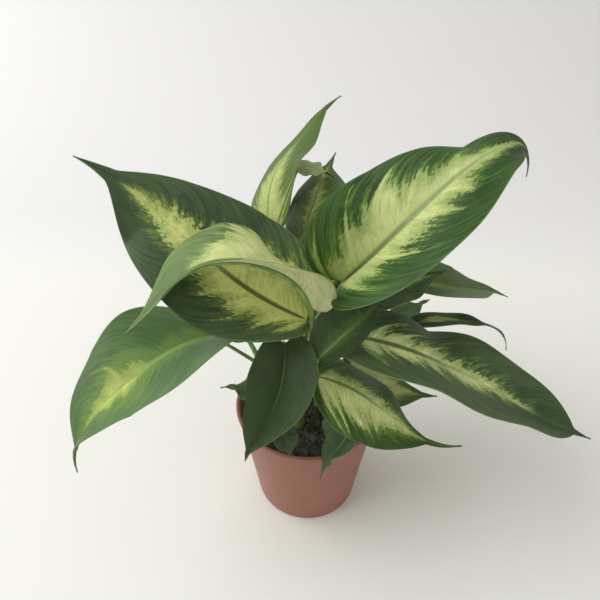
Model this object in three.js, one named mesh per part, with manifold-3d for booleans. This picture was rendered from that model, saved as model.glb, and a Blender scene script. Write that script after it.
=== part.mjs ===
// Potted dieffenbachia: a plain nursery pot, its soil, six canes and their leaves.
// Millimetres, +Z up, the origin in the middle of the pot's underside, the front towards -Y.
import * as THREE from 'three';
import { mergeVertices } from 'three/addons/utils/BufferGeometryUtils.js';
import Module from 'manifold-3d';

const wasm = await Module();
wasm.setup();
const { Manifold } = wasm;
const degree = Math.PI / 180;
const up = new THREE.Vector3(0, 0, 1);

// The pot and its soil
const potHeight = 104;
const potTopRadius = 58.5;
const potBaseRadius = 45;
const potWall = 1.6;
const potEdge = 2;
const rimBead = 1.6;
const drainHole = { radius: 4, circle: 28, count: 6 };
const potSides = 36;
const soilLevel = 93;
const soilMound = 3;
const seat = 0.3;

// Canes: how much narrower the top is, as a share of the radius
const caneTaper = 0.12;
const caneSteps = 6;
const caneSides = 8;

// Leaves: how thick a blade is, and how the leaf stalk narrows to the midrib's end
const bladeThickness = 0.9;
const stalkFoot = 2.9;
const stalkNeck = 1.9;
const stalkSides = 5;
const usualLean = 0.8;
const smallStalk = 0.6;
const ribEnd = 0.7;
const ribReach = 0.78;
const ribSteps = 4;
const ribSink = 0.3;

// The blade's outline: the drip tip, the lobes beside the stalk, and the waves of the margin
const usualTip = 2.5;
const lobeReach = 0.14;
const usualLobe = 4;
const usualWave = 1.2;
const waveCount = 2.6;
const waveLag = 0.4;

// How finely the midrib is followed, and how far the rows crowd towards the blade's ends
const fineSteps = 60;
const cupSteps = 6;
const crowding = 0.09;

const roughness = { pot: 0.6, soil: 0.95, cane: 0.5, leaf: 0.45 };

const colours = {
  pot: 0x9c6554,
  soil: 0x2c2622,
  cane: 0x8fa563,
  dark: 0x35562f,
  mid: 0x55793f,
  pale: 0x94a860,
};

// Canes: where each stands in the soil, where its top is, and its radius at the foot
const canes = {
  front: { foot: [-8, -20, 58], top: [-5, -19, 138], radius: 4.4 },
  centre: { foot: [10, 4, 58], top: [10, 0, 158], radius: 4.8 },
  left: { foot: [-27, -2, 58], top: [-28, 6, 150], radius: 4.4 },
  front_right: { foot: [22, -26, 60], top: [20, -28, 122], radius: 3.8 },
  back: { foot: [-6, 28, 58], top: [-8, 32, 160], radius: 4.8 },
  right_back: { foot: [30, 30, 58], top: [38, 34, 140], radius: 4.2 },
};

// Leaves. base is where the blade starts; heading and rise are the midrib's compass
// direction and slope in degrees from base to tip, roll turns the blade about it, fold is
// how far each half is raised from flat, and cup bends the halves further to their margins.
// slim is the left half's share of its even width, and the right half takes the rest.
// wave is how far the margin waves up and down, tip is half the width where the drip tip starts,
// and stem is the stalk's share of its usual thickness.
// The stalk leaves the named cane at the height `from`, towards the compass direction `out`,
// and lean is how far it leans that way as it leaves.
const leaves = {
  leaf_left_upper: {
    cane: 'centre', from: 132, out: 190, base: [-2, -19, 204], length: 187, width: 104,
    heading: [174, 170, 149, 181], rise: [21, 42, 32, 31], roll: [-11, -23, -23, 7], fold: [36, 5, -6, 21],
    cup: -13, slim: 0.86, wave: 1.2, round: 0.4, taper: 0.77, tail: 22, tip: 7, colour: 'dark',
  },
  leaf_arching: {
    cane: 'centre', from: 136, lean: 0.6, out: -100, base: [2, -23, 216], length: 153, width: 67,
    heading: [179, 196, 188, 201, 222], rise: [76, 38, 1, -45, -26], roll: [39, 21, 1, 9, 7],
    fold: [39, 25, 40, 30, 16], cup: -21, wave: 1.2, round: 0.52, taper: 1.01, tail: 9,
    colour: 'pale',
  },
  leaf_right_upper: {
    cane: 'centre', from: 158, lean: 0.3, out: 40, base: [23, -12, 231], length: 181, width: 94,
    heading: [-15, 2, 26, 43], rise: [50, 53, 45, 5, -88], roll: [55, 29, 5, 63], fold: [64, 22, -3, -4],
    cup: -11, wave: 2.4, round: 0.34, taper: 1.18, tail: 11, lobe: 6, colour: 'dark',
  },
  leaf_upright: {
    cane: 'left', from: 150, out: 90, base: [-31, 51, 239], length: 142, width: 58,
    heading: [93, 52, 49], rise: [78, 22, 32, 10], roll: [-55, -28, 0], fold: [6, -8],
    cup: -14, round: 0.36, taper: 0.9, tail: 21, colour: 'mid',
  },
  leaf_curled: {
    cane: 'back', from: 150, out: 118, base: [-6, 100, 270], length: 30, width: 29,
    heading: [-5, -9, -7], rise: [-6, -14, -20, -36], roll: [6, -1, -39], fold: [-1, 11],
    cup: -12, round: 0.46, taper: 0.88, tail: 3, stem: 0.7, colour: 'mid',
  },
  leaf_back: {
    cane: 'back', from: 162, out: 90, base: [-7, 39, 231], length: 119, width: 57,
    heading: [64, 79, 69], rise: [48, 16, 2, 17], roll: [-37, -19, 20], fold: [-4, 4],
    cup: -17, round: 0.41, taper: 0.96, tail: 18, colour: 'dark',
  },
  leaf_right_back: {
    cane: 'right_back', from: 140, out: 0, base: [74, 30, 204], length: 119, width: 48,
    heading: [-16, 38, 16], rise: [-2, -22, -21, -31], roll: [10, 8, 0], fold: [29, 18],
    cup: -6, round: 0.41, taper: 0.97, tail: 13, colour: 'dark',
  },
  leaf_right_shaded: {
    cane: 'centre', from: 146, lean: 0.6, out: 80, base: [38, 3, 206], length: 72, width: 43,
    heading: [3, 22, 29], rise: [27, 9, 1, 0], roll: [7, 7, 4], fold: [14, 9],
    cup: -12, round: 0.43, taper: 0.93, tail: 11, colour: 'dark',
  },
  leaf_right_narrow: {
    cane: 'right_back', from: 112, out: 15, base: [80, 31, 160], length: 120, width: 25,
    heading: [5, 12, 5], rise: [13, -9, -26, -82], roll: [-15, -4, 8], fold: [9, 13],
    cup: -12, round: 0.42, taper: 0.95, tail: 41, colour: 'dark',
  },
  leaf_right_low: {
    cane: 'centre', from: 136, lean: 0.4, out: 0, base: [27, -12, 184], length: 191, width: 91,
    heading: [-25, -15, -16, -11], rise: [12, -19, -27, -18], roll: [1, -14, -2, 14], fold: [10, 4, 19, 29],
    cup: -4, wave: 2.2, round: 0.46, taper: 0.73, tail: 13, lobe: 5, colour: 'dark',
  },
  leaf_front_right: {
    cane: 'front_right', from: 122, out: 180, base: [7, -40, 170], length: 125, width: 72,
    heading: [-3, -15, -1], rise: [-16, -38, -41, 9], roll: [-4, 4, 6], fold: [-6, -3],
    cup: -19, wave: 1.6, round: 0.42, taper: 0.96, tail: 25, colour: 'pale',
  },
  leaf_right_under: {
    cane: 'front_right', from: 104, out: 60, base: [34, -6, 141], length: 88, width: 56,
    heading: [18, 6, 4], rise: [-25, -42, -21, -8], roll: [1, 6, -1], fold: [16, 11],
    cup: -10, wave: 0.8, round: 0.34, taper: 0.97, tail: 11, colour: 'mid',
  },
  leaf_front: {
    cane: 'front', from: 120, out: 200, base: [-17, -36, 196], length: 86, width: 51,
    heading: [-83, -125, -154], rise: [-47, -47, -41, -71], roll: [-7, -18, -5], fold: [31, 35],
    cup: -7, round: 0.41, taper: 0.95, tail: 6, lobe: 7, colour: 'dark',
  },
  leaf_left_low: {
    cane: 'left', from: 132, out: 215, base: [-67, -21, 191], length: 146, width: 94,
    heading: [-136, -146, -145], rise: [21, -15, -40, -88], roll: [17, -7, 16], fold: [19, 20, 30],
    cup: -6, wave: 2, round: 0.3, taper: 1, tail: 17, stem: 0.6, slim: 0.96, colour: 'mid',
  },
  leaf_left_small: {
    cane: 'left', from: 106, out: 200, base: [-41, -23, 134], length: 29, width: 20,
    heading: [163, 164, 176], rise: [27, 10, -8, -21], roll: [-4, -7, -1], fold: [16, 12],
    cup: -10, round: 0.42, taper: 0.95, tail: 11, small: true, colour: 'mid',
  },
  leaf_front_small: {
    cane: 'front', from: 104, out: 250, base: [-19, -54, 131], length: 20, width: 19,
    heading: [-87, -55, -74], rise: [-1, -21, -49, -73], roll: [-5, -1, 2], fold: [17, 13],
    cup: -10, round: 0.43, taper: 0.64, tail: 3, small: true, colour: 'mid',
  },
  leaf_front_hanging: {
    cane: 'front_right', from: 104, out: -40, base: [33, -49, 130], length: 49, width: 44,
    heading: [-124, -155, -130], rise: [-41, -43, -50, -70], roll: [15, 21, -3], fold: [35, 22],
    cup: -7, round: 0.38, taper: 0.96, tail: 11, small: true, colour: 'mid',
  },
  leaf_centre: {
    cane: 'front', from: 138, out: 60, base: [6, -45, 191], length: 56, width: 34,
    heading: [22, 36, 46], rise: [42, 22, 16], roll: [50, 40, 20], fold: [0, 4],
    cup: -9, round: 0.6, taper: 0.64, tail: 3, small: true, slim: 1.3, colour: 'mid',
  },
  leaf_right_small: {
    cane: 'right_back', from: 124, out: -10, base: [71, 33, 169], length: 34, width: 22,
    heading: [-5, 30, 30], rise: [22, 10, 0], roll: [-2, -6, 2], fold: [12, 7],
    cup: -13, round: 0.43, taper: 0.93, tail: 8, small: true, colour: 'mid',
  },
  leaf_rear_left: {
    cane: 'back', from: 138, out: 150, base: [-34, 52, 205], length: 142, width: 70,
    heading: [150, 145, 150], rise: [35, 10, -20, -50], roll: [0, 5, 0], fold: [22, 12],
    cup: -10, wave: 1.8, round: 0.38, taper: 0.98, tail: 14, colour: 'dark',
  },
  leaf_rear: {
    cane: 'back', from: 126, out: 80, base: [18, 56, 174], length: 132, width: 66,
    heading: [80, 85, 80], rise: [30, 5, -25, -50], roll: [0, 0, 0], fold: [22, 12],
    cup: -10, wave: 1.8, round: 0.38, taper: 0.98, tail: 14, colour: 'dark',
  },
  leaf_rear_right: {
    cane: 'right_back', from: 130, out: 90, base: [56, 58, 200], length: 128, width: 62,
    heading: [62, 55, 60], rise: [38, 10, -25, -50], roll: [0, -5, 0], fold: [20, 12],
    cup: -10, wave: 1.8, round: 0.38, taper: 0.98, tail: 14, colour: 'dark',
  },
  leaf_rear_low_left: {
    cane: 'left', from: 112, out: 140, base: [-52, 34, 146], length: 92, width: 48,
    heading: [150, 160, 150], rise: [25, -5, -35, -60], roll: [0, 0, 0], fold: [18, 12],
    cup: -10, round: 0.4, taper: 0.95, tail: 10, colour: 'mid',
  },
  leaf_rear_low: {
    cane: 'back', from: 118, out: 60, base: [8, 51, 146], length: 84, width: 44,
    heading: [80, 90, 95], rise: [20, -10, -40, -60], roll: [0, 0, 0], fold: [18, 12],
    cup: -10, round: 0.4, taper: 0.95, tail: 10, colour: 'mid',
  },
};

function fromPoint(list) {
  return new THREE.Vector3(...list);
}

// A value along the leaf, straight between equally spaced stops
function along(stops, s) {
  const list = Array.isArray(stops) ? stops : [stops];
  const place = Math.min(Math.max(s, 0), 1) * (list.length - 1);
  const index = Math.min(Math.floor(place), list.length - 2);
  if (index < 0) {
    return list[0];
  }
  return THREE.MathUtils.lerp(list[index], list[index + 1], place - index);
}

// Which way the midrib runs at s, and the blade's left side and upper side there
function bladeAxes(leaf, s) {
  const heading = along(leaf.heading, s) * degree;
  const rise = along(leaf.rise, s) * degree;
  const roll = along(leaf.roll, s) * degree;
  const forward = new THREE.Vector3(
    Math.cos(rise) * Math.cos(heading),
    Math.cos(rise) * Math.sin(heading),
    Math.sin(rise),
  );
  const level = new THREE.Vector3(-Math.sin(heading), Math.cos(heading), 0);
  const above = forward.clone().cross(level);
  const left = level.clone().multiplyScalar(Math.cos(roll)).addScaledVector(above, Math.sin(roll));
  const upper = above.multiplyScalar(Math.cos(roll)).addScaledVector(level, -Math.sin(roll));
  return { forward, left, upper };
}

// The midrib as a fine row of points from the base to the tip
function midribPoints(leaf) {
  const points = [fromPoint(leaf.base)];
  const step = leaf.length / fineSteps;
  for (let i = 0; i < fineSteps; i += 1) {
    const { forward } = bladeAxes(leaf, (i + 0.5) / fineSteps);
    points.push(points[i].clone().addScaledVector(forward, step));
  }
  return points;
}

function midribAt(points, s) {
  const place = Math.min(Math.max(s, 0), 1) * fineSteps;
  const index = Math.min(Math.floor(place), fineSteps - 1);
  return points[index].clone().lerp(points[index + 1], place - index);
}

// Half the blade's width at s: a round base, a long taper and a thin drip tip
function halfWidth(leaf, s) {
  const tail = leaf.tail / leaf.length;
  const { round, taper } = leaf;
  const x = Math.min(s / (1 - tail), 1);
  const widest = round / (round + taper);
  const peak = widest ** round * (1 - widest) ** taper;
  const blade = (leaf.width / 2) * x ** round * (1 - x) ** taper / peak;
  const tip = (leaf.tip ?? usualTip) * Math.min(1, (1 - s) / tail) * Math.min(1, 4 * s);
  return Math.cbrt(blade ** 3 + tip ** 3);
}

// A point of the blade's middle surface, u from 0 at the midrib to 1 at the margin
function bladePoint(leaf, points, s, u, side) {
  const { forward, left, upper } = bladeAxes(leaf, s);
  const share = 1 + side * ((leaf.slim ?? 1) - 1);
  const half = Math.max(halfWidth(leaf, s) * share, 0.6);
  const fold = along(leaf.fold, s) * degree;
  const cup = leaf.cup * degree;
  let across = 0;
  let raised = 0;
  for (let i = 0; i < cupSteps; i += 1) {
    const slope = fold + cup * u * (i + 0.5) / cupSteps;
    across += Math.cos(slope) * u / cupSteps;
    raised += Math.sin(slope) * u / cupSteps;
  }
  const near = Math.exp(-((s / lobeReach) ** 2)) * Math.min(1, half / (0.15 * leaf.width));
  const back = (leaf.lobe ?? usualLobe) * near * u * u;
  const turn = waveCount * s + (side > 0 ? 0 : waveLag);
  const height = (leaf.wave ?? usualWave) * Math.sin(Math.PI * s) * u * u;
  const wave = height * Math.sin(2 * Math.PI * turn);
  return midribAt(points, s)
    .addScaledVector(left, side * across * half)
    .addScaledVector(upper, raised * half + wave)
    .addScaledVector(forward, -back);
}

function toManifold(geometry) {
  const bare = geometry.clone();
  bare.deleteAttribute('normal');
  bare.deleteAttribute('uv');
  const merged = mergeVertices(bare, 1e-4);
  return new Manifold(new wasm.Mesh({
    numProp: 3,
    vertProperties: new Float32Array(merged.attributes.position.array),
    triVerts: new Uint32Array(merged.index.array),
  }));
}

function toGeometry(solid) {
  const mesh = solid.getMesh();
  const geometry = new THREE.BufferGeometry();
  geometry.setAttribute('position', new THREE.BufferAttribute(mesh.vertProperties, 3));
  geometry.setIndex(new THREE.BufferAttribute(mesh.triVerts, 1));
  geometry.computeVertexNormals();
  return geometry;
}

// A closed solid from rows of points: each row is a ring of a tube, with flat ends
function skin(rings) {
  const size = rings[0].length;
  const corners = rings.flat();
  const faces = [];
  for (let i = 0; i < rings.length - 1; i += 1) {
    for (let j = 0; j < size; j += 1) {
      const a = i * size + j;
      const b = i * size + (j + 1) % size;
      faces.push(a, b, b + size, a, b + size, a + size);
    }
  }
  const last = (rings.length - 1) * size;
  for (let j = 1; j < size - 1; j += 1) {
    faces.push(0, j + 1, j, last, last + j, last + j + 1);
  }
  const geometry = new THREE.BufferGeometry().setFromPoints(corners);
  geometry.setIndex(faces);
  return geometry;
}

// A round tube along a row of points, with a radius at each, and its ring upright to start
function tube(points, radii, sides) {
  let across = new THREE.Vector3(1, 0, 0);
  const rings = points.map((point, i) => {
    const before = points[Math.max(i - 1, 0)];
    const after = points[Math.min(i + 1, points.length - 1)];
    const forward = after.clone().sub(before).normalize();
    across = across.clone().addScaledVector(forward, -across.dot(forward)).normalize();
    const other = forward.clone().cross(across);
    return Array.from({ length: sides }, (_, k) => {
      const angle = (2 * Math.PI * k) / sides;
      return point.clone()
        .addScaledVector(across, Math.cos(angle) * radii[i])
        .addScaledVector(other, Math.sin(angle) * radii[i]);
    });
  });
  return skin(rings);
}

// The blade as a closed sheet: two alike faces of small quads, and a rim between them
function bladeSheet(leaf) {
  const rows = leaf.small ? 8 : 11;
  const halves = leaf.small ? 2 : 3;
  const points = midribPoints(leaf);
  const grid = [];
  for (let i = 0; i <= rows; i += 1) {
    const t = i / rows;
    const s = t - crowding * Math.sin(2 * Math.PI * t);
    const row = [];
    for (let j = -halves; j <= halves; j += 1) {
      row.push(bladePoint(leaf, points, s, Math.abs(j) / halves, j < 0 ? 1 : -1));
    }
    grid.push(row);
  }
  const size = 2 * halves + 1;
  const rings = grid.map((row, i) => {
    const above = [];
    const below = [];
    for (let j = 0; j < size; j += 1) {
      const lengthways = grid[Math.min(i + 1, rows)][j].clone().sub(grid[Math.max(i - 1, 0)][j]);
      const crossways = row[Math.max(j - 1, 0)].clone().sub(row[Math.min(j + 1, size - 1)]);
      const normal = lengthways.cross(crossways).normalize();
      above.push(row[j].clone().addScaledVector(normal, bladeThickness / 2));
      below.push(row[j].clone().addScaledVector(normal, -bladeThickness / 2));
    }
    return { above, below };
  });
  const corners = rings.flatMap(({ above, below }) => [...above, ...below]);
  const faces = [];
  const quad = (a, b, c, d) => faces.push(a, b, c, a, c, d);
  for (let i = 0; i < rows; i += 1) {
    const here = i * 2 * size;
    const next = here + 2 * size;
    for (let j = 0; j < size - 1; j += 1) {
      quad(here + j, here + j + 1, next + j + 1, next + j);
      faces.push(here + size + j, next + size + j + 1, here + size + j + 1);
      faces.push(here + size + j, next + size + j, next + size + j + 1);
    }
    quad(here, next, next + size, here + size);
    const end = size - 1;
    quad(here + end, here + size + end, next + size + end, next + end);
  }
  const last = rows * 2 * size;
  for (let j = 0; j < size - 1; j += 1) {
    quad(j, size + j, size + j + 1, j + 1);
    quad(last + j, last + j + 1, last + size + j + 1, last + size + j);
  }
  const geometry = new THREE.BufferGeometry().setFromPoints(corners);
  geometry.setIndex(faces);
  return geometry;
}

function canePath(cane) {
  const foot = fromPoint(cane.foot);
  const top = fromPoint(cane.top);
  const bend = new THREE.Vector3(foot.x, foot.y, (foot.z + top.z) / 2);
  return new THREE.QuadraticBezierCurve3(foot, bend, top);
}

function caneSolid(cane, extra) {
  const curve = canePath(cane);
  const points = curve.getPoints(caneSteps);
  points[0].addScaledVector(up, -extra);
  points[caneSteps].addScaledVector(curve.getTangent(1), extra);
  const radii = points.map((_, i) => cane.radius * (1 - caneTaper * i / caneSteps) + extra);
  return toManifold(tube(points, radii, caneSides));
}

// The leaf stalk from its cane to the blade, which goes on under the blade as its midrib
function stalkAndRib(leaf) {
  const cane = canes[leaf.cane];
  const curve = canePath(cane);
  const share = (leaf.from - cane.foot[2]) / (cane.top[2] - cane.foot[2]);
  const foot = curve.getPoint(Math.min(share, 1));
  const out = new THREE.Vector3(Math.cos(leaf.out * degree), Math.sin(leaf.out * degree), 0);
  const leant = up.clone().addScaledVector(out, leaf.lean ?? usualLean).normalize();
  const start = share >= 1 ? curve.getTangent(1) : leant;
  const first = bladeAxes(leaf, 0);
  const neck = fromPoint(leaf.base).addScaledVector(first.upper, ribSink - stalkNeck);
  const reach = foot.distanceTo(neck);
  const leaving = foot.clone().addScaledVector(start, reach * 0.4);
  const arriving = neck.clone()
    .addScaledVector(first.forward, -Math.min(12, reach * 0.25))
    .addScaledVector(up, -Math.min(8, reach * 0.2));
  const stalk = new THREE.CubicBezierCurve3(foot, leaving, arriving, neck);
  const steps = leaf.small ? 6 : 8;
  const points = stalk.getPoints(steps);
  const radii = points.map((_, i) => THREE.MathUtils.lerp(stalkFoot, stalkNeck, i / steps));
  const midrib = midribPoints(leaf);
  for (let i = 1; i <= ribSteps; i += 1) {
    const s = ribReach * i / ribSteps;
    const radius = THREE.MathUtils.lerp(stalkNeck, ribEnd, i / ribSteps);
    const { upper } = bladeAxes(leaf, s);
    points.push(midribAt(midrib, s).addScaledVector(upper, ribSink - radius));
    radii.push(radius);
  }
  const scale = leaf.stem ?? (leaf.small ? smallStalk : 1);
  return tube(points, radii.map((radius) => radius * scale), stalkSides);
}

// A leaf, cut back where its stalk meets the cane
function leafSolid(leaf) {
  const whole = toManifold(bladeSheet(leaf)).add(toManifold(stalkAndRib(leaf)));
  const free = whole.subtract(caneSolid(canes[leaf.cane], seat));
  const pieces = free.decompose().sort((a, b) => b.volume() - a.volume());
  return pieces[0];
}

// The radius of the pot's outer wall at the height z
function wallAt(z) {
  return THREE.MathUtils.lerp(potBaseRadius, potTopRadius, z / potHeight);
}

function lathe(profile) {
  const points = profile.map(([radius, z]) => new THREE.Vector2(radius, z));
  return toManifold(new THREE.LatheGeometry(points, potSides).rotateX(Math.PI / 2));
}

function potSolid() {
  const beadSteps = 4;
  const beadMiddle = potHeight - rimBead;
  const bead = Array.from({ length: beadSteps + 1 }, (_, i) => {
    const angle = (i / beadSteps - 0.5) * Math.PI;
    return [potTopRadius + rimBead * Math.cos(angle), beadMiddle + rimBead * Math.sin(angle)];
  });
  const shell = lathe([
    [0, 0],
    [potBaseRadius - potEdge, 0],
    [wallAt(potEdge), potEdge],
    ...bead,
    [potTopRadius - potWall, potHeight - potWall / 2],
    [wallAt(potWall) - potWall, potWall],
    [0, potWall],
  ]);
  const { radius, circle, count } = drainHole;
  const drill = new THREE.CylinderGeometry(radius, radius, 4 * potWall, 12).rotateX(Math.PI / 2);
  const holes = Array.from({ length: count }, (_, i) => {
    const angle = (2 * Math.PI * (i + 0.5)) / count;
    return toManifold(drill).translate(circle * Math.cos(angle), circle * Math.sin(angle), 0);
  });
  return shell.subtract(Manifold.union(holes));
}

// The soil fills the pot and rises a little towards the middle, with a hole for each cane
function soilSolid() {
  const moundSteps = 6;
  const floor = potWall + seat;
  const edge = wallAt(soilLevel) - potWall - seat;
  const mound = Array.from({ length: moundSteps + 1 }, (_, i) => {
    const share = i / moundSteps;
    return [edge * (1 - share), soilLevel + soilMound * Math.sin(share * Math.PI / 2)];
  });
  const heap = lathe([[0, floor], [wallAt(floor) - potWall - seat, floor], ...mound]);
  const holes = Object.values(canes).map((cane) => caneSolid(cane, seat));
  return heap.subtract(Manifold.union(holes));
}

function place(group, name, solid, colour, rough, origin = [0, 0, 0]) {
  const [x, y, z] = origin;
  const geometry = toGeometry(solid.translate(-x, -y, -z));
  const material = new THREE.MeshStandardMaterial({ color: colour, roughness: rough, metalness: 0 });
  const mesh = new THREE.Mesh(geometry, material);
  mesh.name = name;
  mesh.position.set(x, y, z);
  group.add(mesh);
}

const plant = new THREE.Group();
place(plant, 'pot', potSolid(), colours.pot, roughness.pot);
place(plant, 'soil', soilSolid(), colours.soil, roughness.soil);
for (const [name, cane] of Object.entries(canes)) {
  place(plant, `cane_${name}`, caneSolid(cane, 0), colours.cane, roughness.cane, cane.foot);
}
for (const [name, leaf] of Object.entries(leaves)) {
  place(plant, name, leafSolid(leaf), colours[leaf.colour], roughness.leaf, leaf.base);
}

export default plant;
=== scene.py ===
import bpy
import math
import random
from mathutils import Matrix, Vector, noise


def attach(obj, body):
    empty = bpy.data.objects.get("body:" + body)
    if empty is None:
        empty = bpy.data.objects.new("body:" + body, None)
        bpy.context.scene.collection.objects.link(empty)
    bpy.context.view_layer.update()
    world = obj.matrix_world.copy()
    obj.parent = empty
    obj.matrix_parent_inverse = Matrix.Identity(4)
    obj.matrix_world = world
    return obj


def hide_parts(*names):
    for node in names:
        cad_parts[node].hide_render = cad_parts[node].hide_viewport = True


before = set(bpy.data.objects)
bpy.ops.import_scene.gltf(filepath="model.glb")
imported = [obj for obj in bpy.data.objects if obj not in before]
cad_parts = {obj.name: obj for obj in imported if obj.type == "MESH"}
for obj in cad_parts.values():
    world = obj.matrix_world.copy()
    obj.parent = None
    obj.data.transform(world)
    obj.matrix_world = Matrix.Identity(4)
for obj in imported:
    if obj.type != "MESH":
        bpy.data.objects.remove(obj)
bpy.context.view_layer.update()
mm = 0.001
random.seed(7)


# camera: the photo looks down at the plant from the front
cameraView = {
    "place": (-0.0064, -0.2931, 0.4181),
    "pitch": 35.73,         # degrees below level
    "lens": 30.0,
    "sensor": 36.0,
}


def addCamera():
    settings = cameraView
    tilt = math.radians(90 - settings["pitch"])
    bpy.ops.object.camera_add(location=settings["place"], rotation=(tilt, 0, 0))
    camera = bpy.context.object
    camera.name = "photoCamera"
    camera.data.lens = settings["lens"]
    camera.data.sensor_width = settings["sensor"]
    camera.data.clip_start = 0.01
    bpy.context.scene.camera = camera


addCamera()
print("camera placed")


# small helpers for meshes
def deselectAll():
    for item in bpy.context.selected_objects:
        item.select_set(False)


def added(name):
    # names the object that was just added
    bpy.context.object.name = name
    return bpy.context.object


def makeActive(obj):
    deselectAll()
    obj.select_set(True)
    bpy.context.view_layer.objects.active = obj


def applyPlace(obj):
    makeActive(obj)
    bpy.ops.object.transform_apply(location=True, rotation=True, scale=True)


def applyModifier(obj, modifier):
    makeActive(obj)
    bpy.ops.object.modifier_apply(modifier=modifier.name)


def joinPieces(main, others):
    makeActive(main)
    for piece in others:
        piece.select_set(True)
    bpy.ops.object.join()
    return main


def smoothBelow(obj, degrees):
    makeActive(obj)
    bpy.ops.object.shade_smooth_by_angle(angle=math.radians(degrees))


def titled(name):
    return name.replace("_", " ").title().replace(" ", "")


def standFor(obj, node):
    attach(obj, "root")
    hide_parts(node)


# small helpers for materials
def newMaterial(name):
    material = bpy.data.materials.new(name)
    material.use_nodes = True
    tree = material.node_tree
    return material, tree, tree.nodes["Principled BSDF"]


def addNode(tree, kind, **settings):
    node = tree.nodes.new(kind)
    for key, value in settings.items():
        setattr(node, key, value)
    return node


def feed(tree, node, values):
    # sets numbers and colours on the node's sockets, and links anything else to them
    for label, value in values.items():
        socket = node.inputs[label]
        if isinstance(value, (int, float)):
            socket.default_value = value
        elif isinstance(value, tuple):
            socket.default_value = (*value, 1.0)
        else:
            tree.links.new(value, socket)


def mathNode(tree, operation, *values):
    node = addNode(tree, "ShaderNodeMath", operation=operation)
    feed(tree, node, dict(enumerate(values)))
    return node.outputs[0]


def mapRange(tree, value, low, high, toLow=0.0, toHigh=1.0, smooth=True):
    node = addNode(tree, "ShaderNodeMapRange")
    node.interpolation_type = "SMOOTHSTEP" if smooth else "LINEAR"
    feed(tree, node, dict(enumerate((value, low, high, toLow, toHigh))))
    return node.outputs[0]


def mixColour(tree, factor, first, second):
    node = addNode(tree, "ShaderNodeMix", data_type="RGBA")
    feed(tree, node, {0: factor, 6: first, 7: second})
    return node.outputs[2]


def noiseNode(tree, vector, scale, detail, roughness=0.55):
    node = addNode(tree, "ShaderNodeTexNoise")
    feed(tree, node, {"Vector": vector, "Scale": scale, "Detail": detail, "Roughness": roughness})
    return node.outputs["Fac"]


def objectCoords(tree):
    return addNode(tree, "ShaderNodeTexCoord").outputs["Object"]


def setSkin(tree, shader, colour, roughness, specular=0.5):
    feed(tree, shader, {
        "Base Color": colour, "Roughness": roughness, "Specular IOR Level": specular,
    })


def stretched(tree, vector, upward):
    node = addNode(tree, "ShaderNodeMapping")
    node.inputs["Scale"].default_value = (1.0, 1.0, upward)
    tree.links.new(vector, node.inputs["Vector"])
    return node.outputs[0]


def bumpInto(tree, shader, height, strength, distance):
    node = addNode(tree, "ShaderNodeBump")
    feed(tree, node, {"Strength": strength, "Distance": distance, "Height": height})
    tree.links.new(node.outputs["Normal"], shader.inputs["Normal"])


def newGroup(name, inputs, outputs):
    group = bpy.data.node_groups.new(name, "ShaderNodeTree")
    for label, value in inputs.items():
        kind = "NodeSocketColor" if isinstance(value, tuple) else "NodeSocketFloat"
        socket = group.interface.new_socket(name=label, in_out="INPUT", socket_type=kind)
        socket.default_value = (*value, 1.0) if isinstance(value, tuple) else value
    for label, kind in outputs.items():
        group.interface.new_socket(name=label, in_out="OUTPUT", socket_type=kind)
    start = group.nodes.new("NodeGroupInput")
    end = group.nodes.new("NodeGroupOutput")
    return group, start, end


# leaf pattern: veins sweep forward from the midrib, and the cream middle has feathered edges
# leafMap holds across in x, 0.5 on the midrib and 1 on the left margin, and along in y
patternColours = {
    "Green": (0.019, 0.050, 0.014),
    "Edge": (0.085, 0.165, 0.042),
    "Cream": (0.43, 0.50, 0.165),
    "Halo": (0.120, 0.215, 0.036),
    "Rib": (0.16, 0.25, 0.075),
}
patternBasics = {
    "Spread": 0.0,          # how far out the cream reaches
    "Start": 0.0,           # along the leaf: where the cream starts, is full, fades and ends
    "Full": 0.2,
    "Fade": 0.2,
    "End": 0.95,
    "Lean": 0.0,            # more cream on the left half, or on the right where negative
    "Glow": 0.0,            # how far the halo goes on past the cream
    "Feather": 1.0,
    "Flecks": 1.0,
    "Flames": 7.0,          # large teeth of cream from base to tip
    "Streaks": 0.45,
    "Rib Width": 0.05,
    "Rib End": 0.8,
    "Seed": 0.0,
}
patternNoise = {            # scale along the leaf, scale across it, detail, roughness
    "wander": (5.0, 0.8, 1.0, 0.5),
    "size": (11.0, 0.0, 1.0, 0.5),
    "hairs": (95.0, 4.0, 3.0, 0.65),
    "flecks": (70.0, 22.0, 3.0, 0.6),
    "streaks": (55.0, 2.2, 4.0, 0.65),
    "slow": (5.0, 1.5, 3.0, 0.55),
}
patternShares = {           # how strongly each part of the pattern shows
    "body": 0.68, "spikes": 0.55, "licks": 0.26, "ragged": 0.22, "spotted": 0.50, "halo": 0.80,
    "tint": 0.34, "clouds": 0.30, "deepening": 0.55, "shade": 0.22, "hairs": 0.16, "rim": 0.55,
}
veinPairs = 24.0
veinLean = 0.12
veinBend = 0.16


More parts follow.
